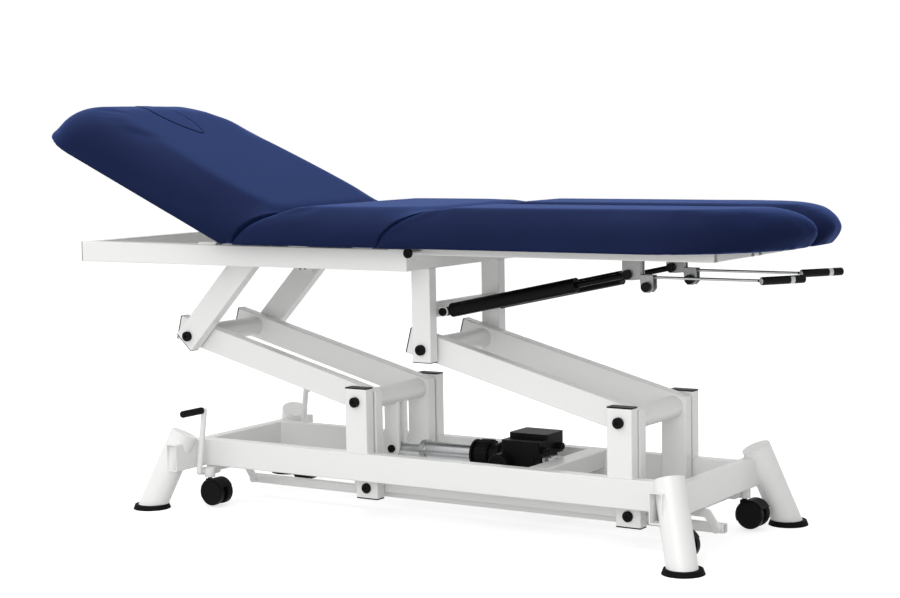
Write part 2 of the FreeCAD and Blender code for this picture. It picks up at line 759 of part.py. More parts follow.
def backrest():
    half = top_wide / 2
    head_x = backrest_hinge_x - backrest_long
    hole_x = backrest_hinge_x - face_hole_middle
    board = plan(head_x + board_inset, backrest_hinge_x - 6, board_inset - half, half - board_inset,
                 head_corner - board_inset, 0, 0, head_corner - board_inset)
    board = Part.Face(Part.Wire(board)).extrude(V(0, 0, board_thick))
    board.translate(V(0, 0, board_bottom))
    hole = lens(face_hole_long, face_hole_wide, hole_x, board_bottom - 20, cushion_top + 20)
    keep("backrest_board", tilted([board.cut(hole)]))
    foot_x = backrest_hinge_x + backrest_foot_overhang
    pad = plan(head_x, foot_x, -half, half, head_corner, 0, 0, head_corner)
    pad = Part.Face(Part.Wire(pad)).extrude(V(0, 0, cushion_top - board_top))
    pad.translate(V(0, 0, board_top))
    run = backrest_slope + backrest_foot_overhang
    rise = cushion_top - board_bottom
    slope = half_space(V(foot_x, 0, board_bottom), V(rise, 0, run))
    full = math.radians(backrest_full_tilt)
    rest = V(backrest_hinge_x, 0, backrest_hinge_z + (backrest_hinge_drop + rail_gap) / math.cos(full))
    under = half_space(rest, V(math.sin(full), 0, -math.cos(full)))
    pad = pad.cut(slope).cut(under)
    head_half = [e for e in pad.Edges if e.BoundBox.ZMin > cushion_top - 0.01]
    pad = pad.makeFillet(backrest_edge, head_half)
    keep("backrest_cushion", tilted([pad.cut(hole)]))
    plug = lens(face_hole_long - 3 * plug_gap, face_hole_wide - 2 * plug_gap, hole_x,
                board_bottom + 2, cushion_top + plug_proud)
    keep("face_plug", tilted([plug]))


def backrest_frame():
    z = board_bottom - backrest_tube / 2
    x0 = backrest_hinge_x + 9.0
    x1 = backrest_hinge_x - backrest_frame_long
    side = beam(V(x0, backrest_frame_y, z), V(x1, backrest_frame_y, z), backrest_tube, backrest_tube)
    side = side.cut(cross_rod(backrest_hinge_x, backrest_hinge_z, 0, frame_wide / 2,
                              hinge_pin_radius + 1.0 + running_gap))
    inner = backrest_frame_y - backrest_tube / 2
    shapes = both([side])
    lug_x = backrest_hinge_x - backrest_lug_along
    for x in (lug_x, x1 + backrest_tube / 2):
        shapes.append(beam(V(x, -inner, z), V(x, inner, z), backrest_tube, backrest_tube, along_x))
    lug_z = backrest_hinge_z - backrest_lug_drop
    for part in (-1, 1):
        y = part * (eye_half + ear_gap + 0.5 + ear_thick / 2)
        y0, y1 = y - ear_thick / 2, y + ear_thick / 2
        face = y1 if part > 0 else y0
        plate = fused(block(lug_x - 10, lug_x + 10, y0, y1, lug_z, z - backrest_tube / 2),
                      cross_rod(lug_x, lug_z, y0, y1, 10),
                      cross_rod(lug_x, lug_z, face, face + part * 5, 7))
        shapes.append(plate)
    keep("backrest_frame", tilted(shapes))


def backrest_lug_point():
    flat = V(-backrest_lug_along, 0, -backrest_lug_drop)
    tilt = math.radians(backrest_tilt)
    x = flat.x * math.cos(tilt) + flat.z * math.sin(tilt)
    z = flat.z * math.cos(tilt) - flat.x * math.sin(tilt)
    return V(backrest_hinge_x + x, 0, backrest_hinge_z + z)


def gas_spring(low, high, y, body_radius, body_end, rod_radius, rod_start, stroke, eye_radius):
    """A gas spring as a body with an eye and a rod with an eye, at one Y."""
    side = V(0, y, 0)
    start = low + side
    end = high + side
    way = unit(end - start)
    body = fused(
        cross_rod(start.x, start.z, y - eye_half, y + eye_half, eye_radius),
        rod(start, start + way * (eye_radius + 14), eye_half - ear_gap),
        rod(start + way * (eye_radius + 8), start + way * body_end, body_radius))
    body = body.cut(cross_rod(start.x, start.z, y - 30, y + 30, spring_pin_radius + running_gap))
    body = body.cut(rod(start + way * (rod_start - stroke), start + way * (body_end + 1),
                        rod_radius + running_gap))
    rod_part = fused(
        rod(start + way * rod_start, end, rod_radius),
        cross_rod(end.x, end.z, y - eye_half, y + eye_half, eye_radius))
    return body, rod_part


def gas_springs():
    for name, side in (("near", -1), ("far", 1)):
        body, shaft = gas_spring(spring_low, spring_high, side * spring_y, spring_radius, spring_body_end,
                                 spring_rod_radius, 190.0, 68.0, 10.0)
        keep("leg_spring_body_" + name, [body])
        keep("leg_spring_rod_" + name, [shaft])
    point = backrest_lug_point()
    body, shaft = gas_spring(backrest_spring_a, point, 0, 12.0, 138.0, 5.0, 104.0, 28.0, 8.0)
    keep("backrest_spring_body", [body])
    keep("backrest_spring_rod", [shaft])
    reach = eye_half + ear_gap
    a = backrest_spring_a
    pin = cross_rod(a.x, a.z, -reach, reach, spring_pin_radius)
    pieces["upper_caps"].append(pin)


def leg_outline(inset, side):
    """Plan of one leg section: square at the seat, a large outer radius at the foot end."""
    y_in = leg_section_gap / 2 + inset
    y_out = top_wide / 2 - inset
    x0 = seat_foot_x + leg_section_gap + inset
    x1 = foot_end_x - inset
    outer = foot_corner_outer - inset
    inner = foot_corner_inner - inset
    if side > 0:
        return plan(x0, x1, y_in, y_out, 0, inner, outer, 0)
    return plan(x0, x1, -y_out, -y_in, 0, outer, inner, 0)


def leg_sections():
    for name, side in (("near", -1), ("far", 1)):
        board = Part.Face(Part.Wire(leg_outline(board_inset, side))).extrude(V(0, 0, board_thick))
        board.translate(V(0, 0, board_bottom))
        keep("leg_board_" + name, [board])
        keep("leg_cushion_" + name, [rounded_pad(leg_outline(0, side), board_top, cushion_top, leg_edge)])


def leg_frames():
    z = board_bottom - leg_frame_tube / 2
    half_tube = leg_frame_tube / 2
    y_in = leg_frame_inner_y + half_tube
    y_out = leg_frame_outer_y - half_tube
    shapes = []
    for y in (y_in, y_out):
        tube = beam(V(leg_frame_head_x, y, z), V(leg_frame_foot_x, y, z), leg_frame_tube, leg_frame_tube)
        knuckle = fused(
            cross_rod(leg_hinge_x, leg_hinge_z, y - half_tube + 1, y + half_tube - 1, hinge_knuckle_radius),
            block(leg_hinge_x, leg_frame_head_x + 4, y - half_tube + 3, y + half_tube - 3,
                  leg_hinge_z - hinge_knuckle_radius, leg_hinge_z + hinge_knuckle_radius))
        hinge_hole = cross_rod(leg_hinge_x, leg_hinge_z, y - 30, y + 30, hinge_pin_radius + running_gap)
        knuckle = knuckle.cut(hinge_hole)
        shapes.append(fused(tube, knuckle))
    inner = leg_frame_inner_y + leg_frame_tube
    outer = leg_frame_outer_y - leg_frame_tube
    lug_x = spring_high.x
    for x in (leg_frame_head_x + half_tube, lug_x + 14, leg_frame_foot_x - half_tube):
        shapes.append(beam(V(x, inner, z), V(x, outer, z), leg_frame_tube, leg_frame_tube, along_x))
    keep("leg_frame_far", shapes)
    keep("leg_frame_near", [mirrored(shape) for shape in shapes])


def leg_brackets():
    """Two plates under each leg section that hold the gas spring's upper end."""
    x, z = spring_high.x, spring_high.z
    roller_x, roller_z = x + 45.0, z - 25.0
    shapes = []
    for part in (-1, 1):
        y = spring_y + part * (eye_half + ear_gap + ear_thick / 2)
        y0, y1 = y - ear_thick / 2, y + ear_thick / 2
        points = ((x - 13, leg_frame_bottom), (x + 30, leg_frame_bottom), (x + 30, handle_z + 5),
                  (x + 59, handle_z + 5), (x + 59, roller_z - 4), (x + 52, roller_z - 12),
                  (x + 38, roller_z - 12), (x + 31, roller_z - 4), (x + 29, handle_z - 5),
                  (x + 10, z - 12), (x - 6, z - 12), (x - 13, z - 4), (x - 13, leg_frame_bottom))
        outline = [V(px, y0, pz) for px, pz in points]
        plate = Part.Face(Part.makePolygon(outline)).extrude(V(0, ear_thick, 0))
        cap_face = y1 if part > 0 else y0
        for cap_x, cap_z, high in ((x, z, 7.0), (roller_x, roller_z, 8.0)):
            plate = fused(plate, cross_rod(cap_x, cap_z, cap_face, cap_face + part * high, 10.4))
        shapes.append(plate)
    web = block(x + 24, x + 28, spring_y - eye_half - ear_gap, spring_y + eye_half + ear_gap,
                handle_z - 5, leg_frame_bottom)
    hole = rod(V(x, spring_y, handle_z), V(x + 90, spring_y, handle_z), handle_rod_radius + running_gap)
    shapes = [fused(shapes[0], shapes[1], web.cut(hole))]
    keep("leg_bracket_far", shapes)
    keep("leg_bracket_near", [mirrored(shape) for shape in shapes])


def release_handles():
    """A rod along each leg section with a slanted grip at its end, the same hand on both."""
    for name, side in (("near", -1), ("far", 1)):
        y = side * spring_y
        start = V(handle_start_x, y, handle_z)
        bend = V(handle_end_x, y, handle_z)
        slant = math.radians(handle_slant)
        way = V(math.cos(slant), math.sin(slant), 0)
        collar = rod(V(start.x + 20, y, handle_z), V(start.x + 30, y, handle_z), 6.0)
        shaft = fused(rod(start, bend, handle_rod_radius), collar)
        first = bend - way * 12.0
        grip = rod(first, first + way * handle_grip_long, handle_grip_radius)
        ends = [e for e in grip.Edges if e.Closed and e.Length > 1]
        grip = grip.makeFillet(3.0, ends)
        keep("release_handle_" + name, [fused(shaft, grip)])


# Actuator

def actuator():
    z = clevis_z
    low = V(head_pivot_x, 0, clevis_z)
    high = V(actuator_pivot_x, 0, actuator_pivot_z - 2)
    way = unit(high - low)

    def at(x):
        return low + way * ((x - low.x) / way.x)

    eye = cross_rod(low.x, z, -lug_half_gap + ear_gap, lug_half_gap - ear_gap, 14)
    shaft = rod(low, at(actuator_tube_start + 88.0), actuator_rod_radius)
    keep("actuator_rod", [fused(shaft, eye)])
    tube_end = at(gear_head_x + 4)
    bore = actuator_rod_radius + running_gap
    tube = rod(at(actuator_tube_start), tube_end, actuator_tube_radius, bore)
    collar = rod(at(actuator_tube_start), at(actuator_tube_start + 14.0), actuator_tube_radius + 3.0, bore)
    keep("actuator_tube", [fused(tube, collar)])
    gear = rod(at(gear_head_x + 4), at(box_head_x + 3), 27.0)
    for x0, x1, radius in ((gear_head_x, gear_head_x + 5, gear_ring_radius),
                           (gear_head_x + 14, gear_head_x + 46, gear_ring_radius - 1),
                           (gear_head_x + 66, gear_head_x + 74, gear_ring_radius - 3)):
        gear = gear.fuse(rod(at(x0), at(x1), radius))
    gear = gear.cut(rod(at(gear_head_x - 1), at(gear_head_x + 4), actuator_tube_radius))
    gear = gear.removeSplitter()
    keep("gear_housing", [gear])
    x0, x1 = box_head_x + 4, box_foot_x
    lid_x = x1 + 14.0
    lid_z = base_top + 6.0
    box = fused(block(x0, x1, -box_half, box_half, box_low_z, lid_z + 8, 8.0),
                block(x0, lid_x, -box_half, -15, lid_z, box_near_top_z, 6.0),
                block(x0, lid_x, -16 - 6.0, box_half, lid_z, box_far_top_z, 6.0))
    barrel = cross_rod(barrel_x, barrel_z, -box_half - 34, -box_half, barrel_radius)
    keep("motor_barrel", [barrel.makeFillet(5.0, [e for e in barrel.Edges if e.BoundBox.YMax < -box_half - 33])])
    rear = fused(
        block(x1, actuator_pivot_x, -lug_half_gap + ear_gap, lug_half_gap - ear_gap,
              actuator_pivot_z - 12, actuator_pivot_z + 8),
        cross_rod(actuator_pivot_x, actuator_pivot_z - 2, -lug_half_gap + ear_gap,
                  lug_half_gap - ear_gap, 10))
    pin = cross_rod(actuator_pivot_x, actuator_pivot_z - 2, -lug_half_gap - lug_thick - 3,
                    lug_half_gap + lug_thick + 3, 5.0)
    keep("actuator_eye", [fused(rear, pin)])
    glands = []
    for y in (-38.0, 30.0):
        glands.append(rod(V(lid_x, y, 180.0), V(lid_x + 14, y, 180.0), 8.0, 3.5))
    keep("control_box", [box] + glands)


# Castors, shafts and pedal

def castor_arm(shaft_x, y_sign):
    """The boss that holds a castor stem and the short arm that joins it to the shaft."""
    y = y_sign * castor_offset
    stem_x = shaft_x + castor_reach
    boss = rod(V(stem_x, y, boss_bottom), V(stem_x, y, boss_top), boss_radius)
    arm = block(shaft_x, stem_x, y - 6, y + 6, shaft_z - 7, shaft_z + 7)
    hub = cross_rod(shaft_x, shaft_z, y - 8, y + 8, shaft_hub_radius)
    shape = fused(boss, arm, hub)
    return shape.cut(rod(V(stem_x, y, boss_bottom - 1), V(stem_x, y, boss_top - 5),
                         stem_radius + running_gap))


def link_lever(shaft_x):
    """A bent plate from a shaft down to the link bar, with its pin and cap."""
    pin_x = shaft_x + link_reach
    inner = -link_offset - link_tube / 2 - washer_gap
    outer = inner - lug_thick
    points = [V(shaft_x, outer, shaft_z), V(shaft_x + knee_reach, outer, shaft_z + knee_rise),
              V(pin_x, outer, link_z)]
    parts = []
    for start, end in zip(points, points[1:]):
        way = end - start
        plate = block(0, way.Length, 0, lug_thick, -9, 9)
        parts.append(placed(plate, start, way, along_y))
    for point, radius in zip(points, (shaft_hub_radius, 9.0, 9.0)):
        parts.append(cross_rod(point.x, point.z, outer, inner, radius))
    parts.append(cross_rod(pin_x, link_z, inner, inner + link_tube + 2, 5.0))
    parts.append(cross_rod(pin_x, link_z, outer - 5, outer, 8.5))
    return parts


def castor_shafts():
    for name, x in (("head_shaft", head_shaft_x), ("foot_shaft", foot_shaft_x)):
        half = pedal_y if name == "head_shaft" else castor_offset
        shaft = cross_rod(x, shaft_z, -half, half, shaft_radius)
        parts = [castor_arm(x, -1), castor_arm(x, 1)] + link_lever(x)
        if name == "head_shaft":
            for side in (-1, 1):
                parts += pedal(side)
        keep(name, [fused(shaft, *parts)])


def pedal(side):
    """A round lever that rises from the end of the head shaft to the grip."""
    y = side * pedal_y
    foot = V(head_shaft_x, y, shaft_z)
    top = V(pedal_top_x, y, pedal_top_z)
    stub = rod(top, top + V(0, side * 14, 0), 6.0)
    return [Part.makeSphere(pedal_rod_radius, foot), rod(foot, top, pedal_rod_radius),
            Part.makeSphere(pedal_rod_radius, top), stub]


def pedal_grips():
    grips = []
    for side in (-1, 1):
        start = V(pedal_top_x, side * (pedal_y + 7), pedal_top_z)
        end = start + V(0, side * pedal_grip_long, 0)
        grip = rod(start, end, pedal_grip_radius)
        grip = grip.makeFillet(4.0, [e for e in grip.Edges if e.Closed and e.Length > 1])
        grips.append(grip.cut(rod(start - V(0, side * 1, 0), start + V(0, side * 7.0, 0), 6.0)))
    keep("pedal_grips", grips)


def castor_link():
    y = -link_offset
    start = V(head_shaft_x + link_reach - 14, y, link_z)
    end = V(foot_shaft_x + link_reach + 14, y, link_z)
    bar = beam(start, end, link_tube, link_tube)
    for x in (head_shaft_x + link_reach, foot_shaft_x + link_reach):
        bar = bar.cut(cross_rod(x, link_z, y - 30, y + 30, 5.0 + running_gap))
    keep("castor_link", [bar])


def castors():
    for end, shaft_x in (("head", head_shaft_x), ("foot", foot_shaft_x)):
        for name, side in (("near", -1), ("far", 1)):
            stem_x = shaft_x + castor_reach
            y = side * castor_offset
            axle_x = stem_x + wheel_trail
            reach = wheel_inner_gap + wheel_half_wide * 2
            stem = rod(V(stem_x, y, wheel_z + 22), V(stem_x, y, boss_top - 6), stem_radius)
            body = block(stem_x - 9, axle_x, y - wheel_inner_gap + 1, y + wheel_inner_gap - 1,
                         wheel_z - 6, wheel_z + 30)
            hood = cross_rod(axle_x, wheel_z, y - wheel_inner_gap - 2 * wheel_half_wide + 4,
                             y + wheel_inner_gap + 2 * wheel_half_wide - 4, wheel_radius + 2.8,
                             wheel_radius + 1.0)
            window = half_space(V(axle_x, y, wheel_z), V(0.5, 0, -1))
            hood = hood.cut(window)
            bore_cap = Part.makeBox(200, 200, 60, V(stem_x - 100, y - 100, boss_bottom - 0.5))
            hood = hood.cut(bore_cap)
            axle = cross_rod(axle_x, wheel_z, y - reach + 3, y + reach - 3, 4.0)
            fork = fused(stem, body, hood, axle)
            keep("castor_%s_%s" % (end, name), [fork])
            wheels = []
            for part in (-1, 1):
                y0 = y + part * wheel_inner_gap
                y1 = y + part * (wheel_inner_gap + 2 * wheel_half_wide)
                wheel = cross_rod(axle_x, wheel_z, y0, y1, wheel_radius)
                wheel = wheel.makeFillet(3.5, [e for e in wheel.Edges if e.Closed and e.Length > 1])
                wheel = wheel.cut(cross_rod(axle_x, wheel_z, min(y0, y1 - part * 2), max(y0, y1 - part * 2),
                                            4.0 + running_gap))
                wheels.append(wheel)
            keep("wheels_%s_%s" % (end, name), wheels)


def main():
    base_side_rails()
    base_cross_rails()
    splayed_legs()
    rubber_feet()
    pivot_posts()
    base_plugs()
    lower_pivot_bolts()
    base_brackets()
    head_arm()
    foot_arm()
    tie_bars()
    upper_side_rails()
    upper_cross_rails()
    upper_legs()
    upper_plugs()
    hinge_brackets()
    spring_pins()
    seat()
    backrest()
    backrest_frame()
    gas_springs()
    leg_sections()
    leg_frames()
    leg_brackets()
    release_handles()
    actuator()
    castor_shafts()
    pedal_grips()
    castor_link()
    castors()
    low_x = min(shape.optimalBoundingBox(False, False).XMin for shape in pieces["backrest_cushion"])
    middle = (low_x + foot_end_x) / 2
    print("middle_x", middle)
    os.makedirs("parts", exist_ok=True)
    for name, shapes in pieces.items():
        for shape in shapes:
            shape.translate(V(-middle, 0, 0))
        solids = [solid for shape in shapes for solid in shape.Solids]
        whole = solids[0] if len(solids) == 1 else Part.makeCompound(solids)
        whole.exportStep("parts/" + name + ".step")
    print(len(pieces), "nodes")


main()
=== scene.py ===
import json
import math
import bmesh
import bpy
from mathutils import Matrix, Vector

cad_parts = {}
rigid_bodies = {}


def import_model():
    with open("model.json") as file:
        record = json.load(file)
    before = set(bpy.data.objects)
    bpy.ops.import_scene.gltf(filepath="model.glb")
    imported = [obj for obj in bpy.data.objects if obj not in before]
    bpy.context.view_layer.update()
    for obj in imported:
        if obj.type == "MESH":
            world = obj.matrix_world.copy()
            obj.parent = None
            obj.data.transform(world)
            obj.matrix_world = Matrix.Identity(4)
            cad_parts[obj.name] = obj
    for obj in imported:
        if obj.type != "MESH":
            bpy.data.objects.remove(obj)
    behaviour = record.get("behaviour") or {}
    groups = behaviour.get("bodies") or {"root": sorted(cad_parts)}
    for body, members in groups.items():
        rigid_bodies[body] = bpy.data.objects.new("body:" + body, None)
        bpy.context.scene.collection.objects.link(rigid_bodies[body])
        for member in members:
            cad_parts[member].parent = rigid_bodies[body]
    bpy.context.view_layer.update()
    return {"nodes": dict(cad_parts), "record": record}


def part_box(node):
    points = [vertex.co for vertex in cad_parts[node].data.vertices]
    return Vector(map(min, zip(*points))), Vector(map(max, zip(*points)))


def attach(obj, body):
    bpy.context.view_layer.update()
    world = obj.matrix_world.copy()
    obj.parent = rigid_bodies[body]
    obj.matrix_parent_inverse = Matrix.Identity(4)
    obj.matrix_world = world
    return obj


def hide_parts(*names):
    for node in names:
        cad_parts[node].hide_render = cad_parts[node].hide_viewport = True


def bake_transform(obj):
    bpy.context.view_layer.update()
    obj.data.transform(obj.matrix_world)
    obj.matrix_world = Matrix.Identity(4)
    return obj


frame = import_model()
nodes = frame["nodes"]
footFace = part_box("upper_cross_rails")[1].x  # foot end of the upper frame, X = 0 of all sizes below
mm = 0.001
print("stage: frame loaded")


def at(x, y, z):
    return Vector((footFace + x * mm, y * mm, z * mm))  # sizes are in mm from the foot end of the frame


# Camera at the photograph's place
photoCamera = {"place": (2328.0, -3689.0, 909.0), "yaw": 32.82, "pitch": 5.22, "roll": -0.98, "lens": 76.08}


def makeCamera(s):
    bpy.ops.object.camera_add()
    camera = bpy.context.object
    camera.name = "photoCamera"
    camera.data.sensor_width = 36.0
    camera.data.lens = s["lens"]
    camera.data.clip_end = 60.0
    yaw, pitch, roll = (math.radians(s[k]) for k in ("yaw", "pitch", "roll"))
    ahead = Vector((-math.sin(yaw) * math.cos(pitch), math.cos(yaw) * math.cos(pitch), -math.sin(pitch)))
    right = Vector((math.cos(yaw), math.sin(yaw), 0))
    up = right.cross(ahead)
    rolledRight = right * math.cos(roll) + up * math.sin(roll)
    rolledUp = up * math.cos(roll) - right * math.sin(roll)
    turn = Matrix((rolledRight, rolledUp, -ahead)).transposed().to_4x4()
    camera.matrix_world = Matrix.Translation(at(*s["place"])) @ turn
    bpy.context.scene.camera = camera


makeCamera(photoCamera)


# Shader groups that several materials share
def newGroup(name, inputs, outputs):
    group = bpy.data.node_groups.new(name, "ShaderNodeTree")
    for label, kind, value in inputs:
        socket = group.interface.new_socket(name=label, in_out="INPUT", socket_type=kind)
        socket.default_value = value
    for label, kind in outputs:
        group.interface.new_socket(name=label, in_out="OUTPUT", socket_type=kind)
    return group, group.nodes.new("NodeGroupInput"), group.nodes.new("NodeGroupOutput")


def noiseNode(tree, place, scale, detail=3.0, rough=0.5):
    node = tree.nodes.new("ShaderNodeTexNoise")
    node.inputs["Scale"].default_value = scale
    node.inputs["Detail"].default_value = detail
    node.inputs["Roughness"].default_value = rough
    tree.links.new(place, node.inputs["Vector"])
    return node


def mapRange(tree, value, low, high, toLow, toHigh):
    node = tree.nodes.new("ShaderNodeMapRange")
    for label, number in (("From Min", low), ("From Max", high), ("To Min", toLow), ("To Max", toHigh)):
        node.inputs[label].default_value = number
    tree.links.new(value, node.inputs["Value"])
    return node.outputs["Result"]


def maths(tree, operation, a, b=None):
    node = tree.nodes.new("ShaderNodeMath")
    node.operation = operation
    for socket, value in zip(node.inputs, (a, b)):
        if hasattr(value, "links"):
            tree.links.new(value, socket)
        elif value is not None:
            socket.default_value = value
    return node.outputs[0]


def mixColour(tree, fac, a, b):
    node = tree.nodes.new("ShaderNodeMix")
    node.data_type = "RGBA"
    tree.links.new(fac, node.inputs["Factor"])
    for label, value in (("A", a), ("B", b)):
        socket = next(i for i in node.inputs if i.name == label and i.type == "RGBA")
        socket.default_value = (*value, 1.0)
    return next(o for o in node.outputs if o.type == "RGBA")


def makeToneGroup():
    # slow drift of the colour over a surface
    inputs = [("Colour", "NodeSocketColor", (0.8, 0.8, 0.8, 1)), ("Drift", "NodeSocketFloat", 0.04),
              ("Scale", "NodeSocketFloat", 3.0)]
    group, start, end = newGroup("slowTone", inputs, [("Colour", "NodeSocketColor")])
    place = group.nodes.new("ShaderNodeTexCoord").outputs["Object"]
    broad = group.nodes.new("ShaderNodeTexNoise")
    broad.inputs["Detail"].default_value = 4.0
    group.links.new(place, broad.inputs["Vector"])
    group.links.new(start.outputs["Scale"], broad.inputs["Scale"])
    shade = mapRange(group, broad.outputs["Fac"], 0.3, 0.7, -1.0, 1.0)
    amount = group.nodes.new("ShaderNodeMath")
    amount.operation = "MULTIPLY_ADD"
    amount.inputs[2].default_value = 1.0
    group.links.new(shade, amount.inputs[0])
    group.links.new(start.outputs["Drift"], amount.inputs[1])
    scaled = group.nodes.new("ShaderNodeVectorMath")
    scaled.operation = "SCALE"
    group.links.new(start.outputs["Colour"], scaled.inputs[0])
    group.links.new(amount.outputs[0], scaled.inputs["Scale"])
    group.links.new(scaled.outputs["Vector"], end.inputs["Colour"])
    return group


def makeGrainGroup():
    # pebbled grain, as on coated fabric and moulded plastic
    inputs = [("Cells", "NodeSocketFloat", 500.0), ("Fine", "NodeSocketFloat", 1500.0)]
    group, start, end = newGroup("pebbleGrain", inputs, [("Height", "NodeSocketFloat")])
    place = group.nodes.new("ShaderNodeTexCoord").outputs["Object"]
    cells = group.nodes.new("ShaderNodeTexVoronoi")
    cells.feature = "SMOOTH_F1"
    group.links.new(place, cells.inputs["Vector"])
    group.links.new(start.outputs["Cells"], cells.inputs["Scale"])
    fine = group.nodes.new("ShaderNodeTexNoise")
    group.links.new(place, fine.inputs["Vector"])
    group.links.new(start.outputs["Fine"], fine.inputs["Scale"])
    both = group.nodes.new("ShaderNodeMath")
    both.operation = "MULTIPLY_ADD"
    both.inputs[1].default_value = 0.35
    group.links.new(fine.outputs["Fac"], both.inputs[0])
    group.links.new(cells.outputs["Distance"], both.inputs[2])
    group.links.new(both.outputs[0], end.inputs["Height"])
    return group


slowTone = makeToneGroup()
pebbleGrain = makeGrainGroup()


def newMaterial(name, **sockets):
    material = bpy.data.materials.new(name)
    material.use_nodes = True
    shader = material.node_tree.nodes["Principled BSDF"]
    for label, value in sockets.items():
        shader.inputs[label.replace("_", " ")].default_value = value
    return material.node_tree, shader


def addTone(tree, shader, colour, drift, scale):
    # the colour is three numbers or another node's output
    tone = tree.nodes.new("ShaderNodeGroup")
    tone.node_tree = slowTone
    if hasattr(colour, "links"):
        tree.links.new(colour, tone.inputs["Colour"])
    else:
        tone.inputs["Colour"].default_value = (*colour, 1.0)
    tone.inputs["Drift"].default_value = drift
    tone.inputs["Scale"].default_value = scale
    tree.links.new(tone.outputs["Colour"], shader.inputs["Base Color"])


def addBump(tree, shader, height, strength, distance):
    bump = tree.nodes.new("ShaderNodeBump")
    bump.inputs["Strength"].default_value = strength
    bump.inputs["Distance"].default_value = distance
    tree.links.new(height, bump.inputs["Height"])
    tree.links.new(bump.outputs["Normal"], shader.inputs["Normal"])


def addGrain(tree, cells, fine):
    grain = tree.nodes.new("ShaderNodeGroup")
    grain.node_tree = pebbleGrain
    grain.inputs["Cells"].default_value = cells
    grain.inputs["Fine"].default_value = fine
    return grain.outputs["Height"]


def objectPlace(tree):
    return tree.nodes.new("ShaderNodeTexCoord").outputs["Object"]


# Painted steel: off-white powder coat with a faint orange peel
paintLook = {"colour": (0.85, 0.855, 0.84), "rough": 0.32, "peel": 420.0, "peelHigh": 0.00006}


def makePaint(s):
    tree, shader = newMaterial("paintedSteel", Coat_Weight=0.15, Coat_Roughness=0.2)
    addTone(tree, shader, s["colour"], 0.012, 2.5)
    peel = noiseNode(tree, objectPlace(tree), s["peel"], 1.0)
    rough = mapRange(tree, peel.outputs["Fac"], 0.3, 0.7, s["rough"] - 0.04, s["rough"] + 0.05)
    tree.links.new(rough, shader.inputs["Roughness"])
    addBump(tree, shader, peel.outputs["Fac"], 0.5, s["peelHigh"])


# Black parts: moulded nylon, rubber and lacquer
blackLooks = {
    "blackPlastic": {"colour": (0.006, 0.006, 0.0065), "rough": 0.42, "cells": 1400.0, "high": 0.00005},
    "blackRubber": {"colour": (0.007, 0.007, 0.007), "rough": 0.72, "cells": 900.0, "high": 0.00008},
    "springLacquer": {"colour": (0.004, 0.004, 0.0045), "rough": 0.3, "cells": 1800.0, "high": 0.00001},
}


def makeBlack(name, s):
    tree, shader = newMaterial(name, Specular_IOR_Level=0.06)
    addTone(tree, shader, s["colour"], 0.25, 6.0)
    grain = addGrain(tree, s["cells"], s["cells"] * 2.4)
    rough = mapRange(tree, grain, 0.2, 0.9, s["rough"] - 0.06, s["rough"] + 0.06)
    tree.links.new(rough, shader.inputs["Roughness"])
    addBump(tree, shader, grain, 0.6, s["high"])


# Bare metals. The tone and the brushing are noise scales.
metalPattern = {"tone": 14.0, "brushing": 900.0, "high": 0.00004}
metalLooks = {
    "darkZinc": {"colour": (0.27, 0.275, 0.27), "rough": 0.42, "drift": 0.12, "stretch": (1, 1, 1)},
    "zincSteel": {"colour": (0.42, 0.43, 0.44), "rough": 0.38, "drift": 0.1, "stretch": (1, 1, 1)},
    "greyAluminium": {"colour": (0.5, 0.51, 0.52), "rough": 0.34, "drift": 0.05, "stretch": (0.15, 1, 1)},
}


def makeMetal(name, s):
    tree, shader = newMaterial(name, Metallic=1.0)
    addTone(tree, shader, s["colour"], s["drift"], metalPattern["tone"])
    mapping = tree.nodes.new("ShaderNodeMapping")
    mapping.inputs["Scale"].default_value = s["stretch"]
    tree.links.new(objectPlace(tree), mapping.inputs["Vector"])
    brushed = noiseNode(tree, mapping.outputs["Vector"], metalPattern["brushing"], 2.0)
    rough = mapRange(tree, brushed.outputs["Fac"], 0.3, 0.7, s["rough"] - 0.06, s["rough"] + 0.08)
    tree.links.new(rough, shader.inputs["Roughness"])
    addBump(tree, shader, brushed.outputs["Fac"], 0.3, metalPattern["high"])


# Upholstery
leatherLook = {"colour": (0.0085, 0.013, 0.043), "rough": 0.5, "cells": 650.0, "fine": 2200.0, "high": 0.00014}


def makeLeatherette(s):
    tree, shader = newMaterial(
        "navyLeatherette", Specular_IOR_Level=0.01, Sheen_Weight=0.45, Sheen_Roughness=0.4,
        Sheen_Tint=(0.08, 0.2, 0.72, 1.0))
    addTone(tree, shader, s["colour"], 0.08, 5.0)
    grain = addGrain(tree, s["cells"], s["fine"])
    rough = mapRange(tree, grain, 0.15, 0.9, s["rough"] + 0.08, s["rough"] - 0.05)
    tree.links.new(rough, shader.inputs["Roughness"])
    addBump(tree, shader, grain, 0.55, s["high"])


# Woven black lining, stapled under each board
liningLook = {"colour": (0.018, 0.018, 0.02), "threads": 260.0, "high": 0.0003}


def makeLining(s):
    tree, shader = newMaterial("blackLining", Roughness=0.9, Specular_IOR_Level=0.2)
    addTone(tree, shader, s["colour"], 0.2, 8.0)
    place = objectPlace(tree)
    heights = []
    for axis in ("X", "Y"):
        wave = tree.nodes.new("ShaderNodeTexWave")
        wave.bands_direction = axis
        wave.inputs["Scale"].default_value = s["threads"]
        tree.links.new(place, wave.inputs["Vector"])
        heights.append(wave.outputs["Fac"])
    addBump(tree, shader, maths(tree, "MAXIMUM", *heights), 0.6, s["high"])


# Nodes that carry two finishes: a mask on Object coordinates puts black plastic over the bare metal
bracketLook = {"middle": 105.0, "reach": 10.6}
gripLook = {"bend": (781.0, 105.0, 583.0), "back": 12.0, "slant": math.radians(56.5),
            "black": [(0.5, 68.0), (78.0, 120.0)]}
twoFinishGrain = {"cells": 1400.0, "fine": 3300.0}


